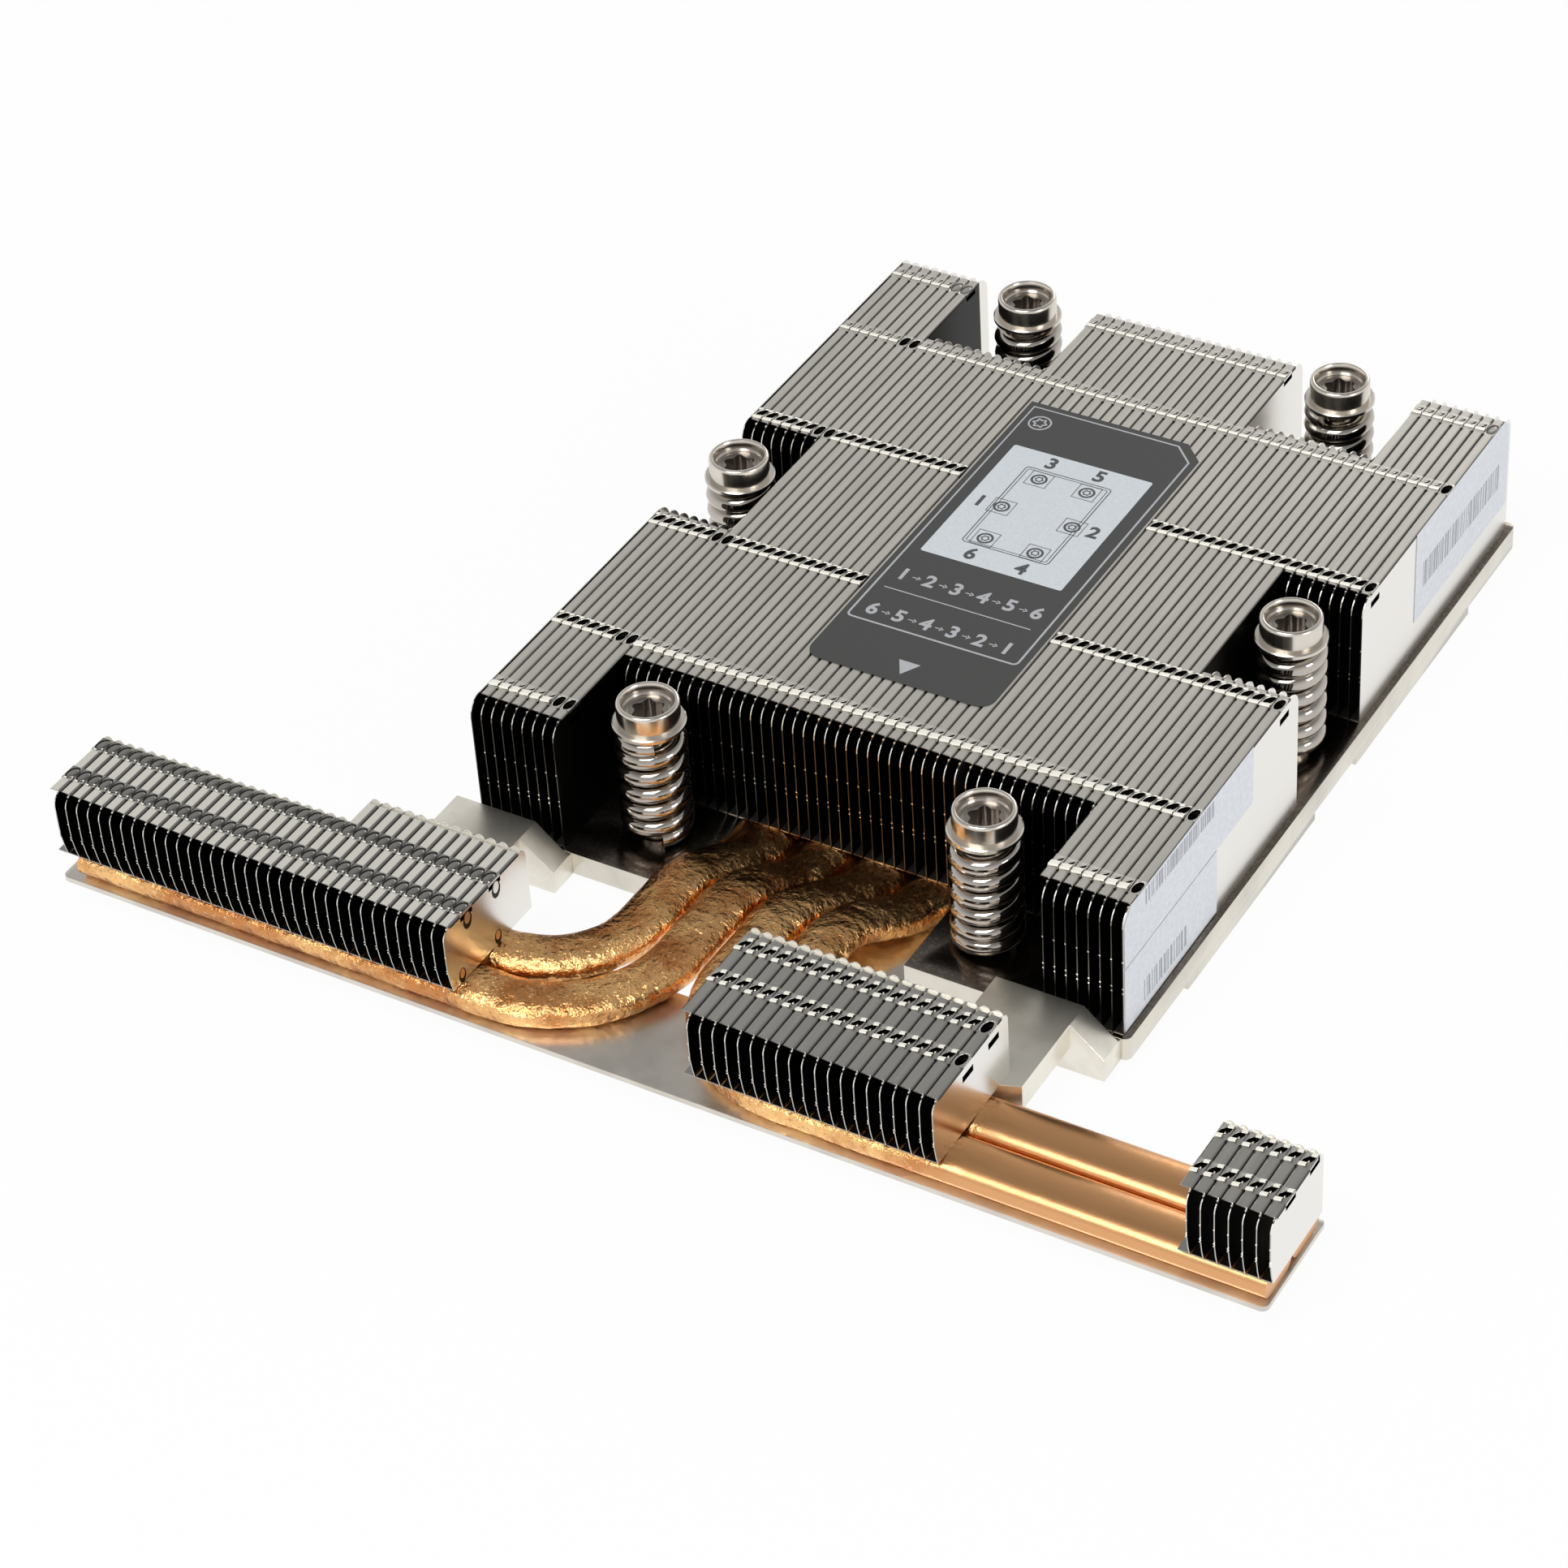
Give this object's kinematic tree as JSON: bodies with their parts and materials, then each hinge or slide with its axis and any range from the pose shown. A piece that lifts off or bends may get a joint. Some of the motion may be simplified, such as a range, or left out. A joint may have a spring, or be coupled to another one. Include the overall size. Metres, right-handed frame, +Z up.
{
  "type": "passive server cpu heatsink",
  "caption": "Low passive server CPU heatsink: zipper fins on a plated base, flattened heat pipes to a lower row of fins in front, and sprung captive screws.",
  "frame": {"origin": "centre of the contact pedestal on its lower face, in line with the middle fin", "axes": "+X across the fins to the right, +Y along the fins to the rear, away from the lower row of fins, +Z up"},
  "size_m": [0.1704, 0.1508, 0.0259],
  "materials": {
    "nickel_base": "nickel plate, satin",
    "copper": "bare copper, slightly hammered",
    "plain_sheet": "plain sheet, satin",
    "blasted_arm": "bead blasted and plated",
    "nickel_fin": "nickel plated sheet",
    "wing_fin": "plain rolled sheet",
    "screw_steel": "polished nickel plate",
    "clip_steel": "spring steel",
    "spring_steel": "polished wire",
    "label_film": "printed film",
    "sticker_paper": "coated paper"
  },
  "bodies": {
    "heatsink": {"base_plate": "nickel_base", "heat_pipe_left_rear": "copper", "heat_pipe_left_front": "copper", "heat_pipe_right_front": "copper", "heat_pipe_right_rear": "copper", "wing_plate": "plain_sheet", "left_arm": "blasted_arm", "right_arm": "blasted_arm", "fins_left_front": "nickel_fin", "fins_left_rear": "nickel_fin", "fin_left_full": "nickel_fin", "fins_left_inner": "nickel_fin", "fins_centre": "nickel_fin", "fins_right_inner": "nickel_fin", "fins_right_front": "nickel_fin", "fins_right_rear": "nickel_fin", "fins_wing_left": "wing_fin", "fins_wing_left_wide": "wing_fin", "fins_wing_middle": "wing_fin", "fins_wing_right": "wing_fin", "spring_1": "spring_steel", "spring_2": "spring_steel", "spring_3": "spring_steel", "spring_4": "spring_steel", "spring_5": "spring_steel", "spring_6": "spring_steel", "top_label": "label_film", "side_sticker_front": "sticker_paper", "side_sticker_middle": "sticker_paper", "side_sticker_rear": "sticker_paper"},
    "clip_1": {"retaining_clip_1": "clip_steel"},
    "screw_1": {"captive_screw_1": "screw_steel"},
    "clip_2": {"retaining_clip_2": "clip_steel"},
    "screw_2": {"captive_screw_2": "screw_steel"},
    "clip_3": {"retaining_clip_3": "clip_steel"},
    "screw_3": {"captive_screw_3": "screw_steel"},
    "clip_4": {"retaining_clip_4": "clip_steel"},
    "screw_4": {"captive_screw_4": "screw_steel"},
    "clip_5": {"retaining_clip_5": "clip_steel"},
    "screw_5": {"captive_screw_5": "screw_steel"},
    "clip_6": {"retaining_clip_6": "clip_steel"},
    "screw_6": {"captive_screw_6": "screw_steel"}
  },
  "joints": [
    {"name": "screw_1_travel", "type": "slide", "parent": "heatsink", "child": "clip_1", "axis": [0, 0, -1], "range_m": [0, 0.004], "stiffness_N_per_m": 2500, "deforming": ["spring_1"]},
    {"name": "screw_1_turn", "type": "hinge", "parent": "clip_1", "child": "screw_1", "pos_m": [-0.0415, 0.0006, 0], "axis": [0, 0, 1], "continuous": true},
    {"name": "screw_2_travel", "type": "slide", "parent": "heatsink", "child": "clip_2", "axis": [0, 0, -1], "range_m": [0, 0.004], "stiffness_N_per_m": 2500, "deforming": ["spring_2"]},
    {"name": "screw_2_turn", "type": "hinge", "parent": "clip_2", "child": "screw_2", "pos_m": [0.0399, 0.0006, 0], "axis": [0, 0, 1], "continuous": true},
    {"name": "screw_3_travel", "type": "slide", "parent": "heatsink", "child": "clip_3", "axis": [0, 0, -1], "range_m": [0, 0.004], "stiffness_N_per_m": 2500, "deforming": ["spring_3"]},
    {"name": "screw_3_turn", "type": "hinge", "parent": "clip_3", "child": "screw_3", "pos_m": [-0.0247, 0.0516, 0], "axis": [0, 0, 1], "continuous": true},
    {"name": "screw_4_travel", "type": "slide", "parent": "heatsink", "child": "clip_4", "axis": [0, 0, -1], "range_m": [0, 0.004], "stiffness_N_per_m": 2500, "deforming": ["spring_4"]},
    {"name": "screw_4_turn", "type": "hinge", "parent": "clip_4", "child": "screw_4", "pos_m": [0.0231, -0.0504, 0], "axis": [0, 0, 1], "continuous": true},
    {"name": "screw_5_travel", "type": "slide", "parent": "heatsink", "child": "clip_5", "axis": [0, 0, -1], "range_m": [0, 0.004], "stiffness_N_per_m": 2500, "deforming": ["spring_5"]},
    {"name": "screw_5_turn", "type": "hinge", "parent": "clip_5", "child": "screw_5", "pos_m": [0.0231, 0.0516, 0], "axis": [0, 0, 1], "continuous": true},
    {"name": "screw_6_travel", "type": "slide", "parent": "heatsink", "child": "clip_6", "axis": [0, 0, -1], "range_m": [0, 0.004], "stiffness_N_per_m": 2500, "deforming": ["spring_6"]},
    {"name": "screw_6_turn", "type": "hinge", "parent": "clip_6", "child": "screw_6", "pos_m": [-0.0247, -0.0504, 0], "axis": [0, 0, 1], "continuous": true}
  ]
}
